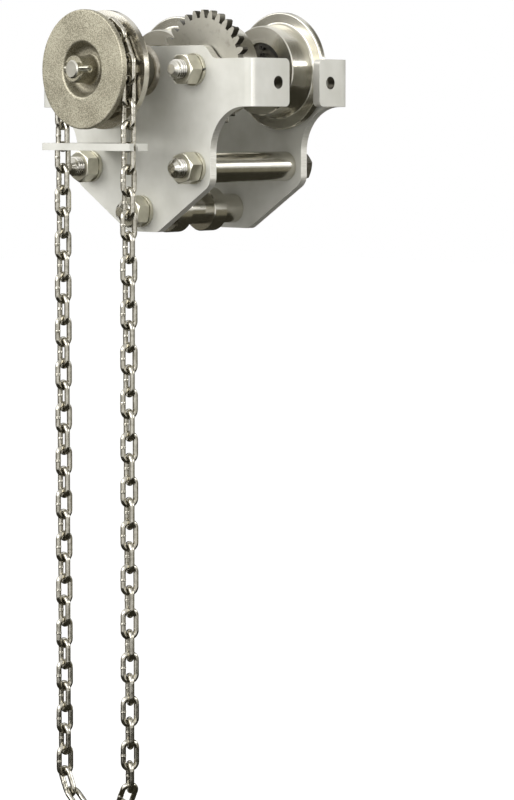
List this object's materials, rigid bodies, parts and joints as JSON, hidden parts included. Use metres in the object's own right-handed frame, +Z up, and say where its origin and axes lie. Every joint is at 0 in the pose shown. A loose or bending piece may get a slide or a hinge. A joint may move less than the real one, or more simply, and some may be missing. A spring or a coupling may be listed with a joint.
{
  "type": "geared beam trolley",
  "caption": "Hand-chain geared trolley: flanged wheels on a beam's lower flange, gear rims driven by a pinion and pocket wheel, bent side plates, tie bars and a load bar.",
  "frame": {"origin": "middle of the beam's lower flange at running-surface height, midway between the axles", "axes": "+X along the beam, +Y away from the hand chain, +Z up"},
  "size_m": [0.353, 0.2853, 0.9129],
  "materials": {
    "blasted_stainless_plate": "glass-blasted stainless steel, matt",
    "satin_stainless": "satin stainless steel",
    "polished_bar": "turned and polished stainless steel",
    "bright_fastener": "bright stainless fasteners",
    "dark_fastener": "dull fasteners on the far side",
    "turned_steel": "turned stainless steel",
    "axle_steel": "turned steel with threaded ends",
    "bearing_steel": "ground steel rings with dark seals",
    "spring_steel": "dark spring steel",
    "bush_bronze": "plain bronze",
    "cast_wheel": "grainy cast stainless steel",
    "chain_steel": "polished round-wire chain"
  },
  "bodies": {
    "frame": {"front_side_plate": "blasted_stainless_plate", "rear_side_plate": "blasted_stainless_plate", "chain_guide": "satin_stainless", "guide_bracket": "satin_stainless", "shaft_housing": "satin_stainless", "tie_bar_left": "polished_bar", "tie_bar_right": "polished_bar", "load_bar": "polished_bar", "load_collar_front": "polished_bar", "load_collar_rear": "polished_bar", "nuts_front": "bright_fastener", "lock_washers_front": "bright_fastener", "guide_bolts": "bright_fastener", "nuts_rear": "dark_fastener", "axle_front_left": "axle_steel", "axle_front_right": "axle_steel", "axle_rear_left": "axle_steel", "axle_rear_right": "axle_steel", "bearing_inner_rings_front_left": "bearing_steel", "bearing_inner_rings_front_right": "bearing_steel", "bearing_inner_rings_rear_left": "bearing_steel", "bearing_inner_rings_rear_right": "bearing_steel", "axle_circlips": "spring_steel", "bush_inner": "bush_bronze", "bush_outer": "bush_bronze", "hand_chain_over_wheel": "chain_steel", "hand_chain_left_run": "chain_steel", "hand_chain_right_run": "chain_steel", "hand_chain_bottom_bight": "chain_steel"},
    "wheel_front_left": {"wheel_front_left": "turned_steel", "bearing_outer_rings_front_left": "bearing_steel", "bearing_balls_front_left": "bearing_steel", "wheel_circlip_front_left": "spring_steel"},
    "wheel_front_right": {"wheel_front_right": "turned_steel", "bearing_outer_rings_front_right": "bearing_steel", "bearing_balls_front_right": "bearing_steel", "wheel_circlip_front_right": "spring_steel"},
    "wheel_rear_left": {"wheel_rear_left": "turned_steel", "bearing_outer_rings_rear_left": "bearing_steel", "bearing_balls_rear_left": "bearing_steel", "wheel_circlip_rear_left": "spring_steel"},
    "wheel_rear_right": {"wheel_rear_right": "turned_steel", "bearing_outer_rings_rear_right": "bearing_steel", "bearing_balls_rear_right": "bearing_steel", "wheel_circlip_rear_right": "spring_steel"},
    "drive": {"pinion_shaft": "axle_steel", "wheel_key": "axle_steel", "hand_chain_wheel": "cast_wheel", "spring_pin": "bright_fastener"}
  },
  "joints": [
    {"name": "front_right_wheel_turn", "type": "hinge", "parent": "frame", "child": "wheel_front_right", "pos_m": [0.08334, 0, 0.052], "axis": [0, 1, 0], "continuous": true},
    {"name": "front_left_wheel_turn", "type": "hinge", "parent": "frame", "child": "wheel_front_left", "pos_m": [-0.08334, 0, 0.052], "axis": [0, 1, 0], "continuous": true},
    {"name": "rear_right_wheel_turn", "type": "hinge", "parent": "frame", "child": "wheel_rear_right", "pos_m": [0.08334, 0, 0.052], "axis": [0, 1, 0], "continuous": true},
    {"name": "rear_left_wheel_turn", "type": "hinge", "parent": "frame", "child": "wheel_rear_left", "pos_m": [-0.08334, 0, 0.052], "axis": [0, 1, 0], "continuous": true},
    {"name": "hand_chain_wheel_turn", "type": "hinge", "parent": "frame", "child": "drive", "pos_m": [0, 0, 0.052], "axis": [0, 1, 0], "continuous": true, "deforming": ["hand_chain_over_wheel"]}
  ],
  "couplings": [
    {"joint": "front_left_wheel_turn", "follows": "front_right_wheel_turn", "ratio": 1},
    {"joint": "hand_chain_wheel_turn", "follows": "front_right_wheel_turn", "ratio": -3.1}
  ]
}
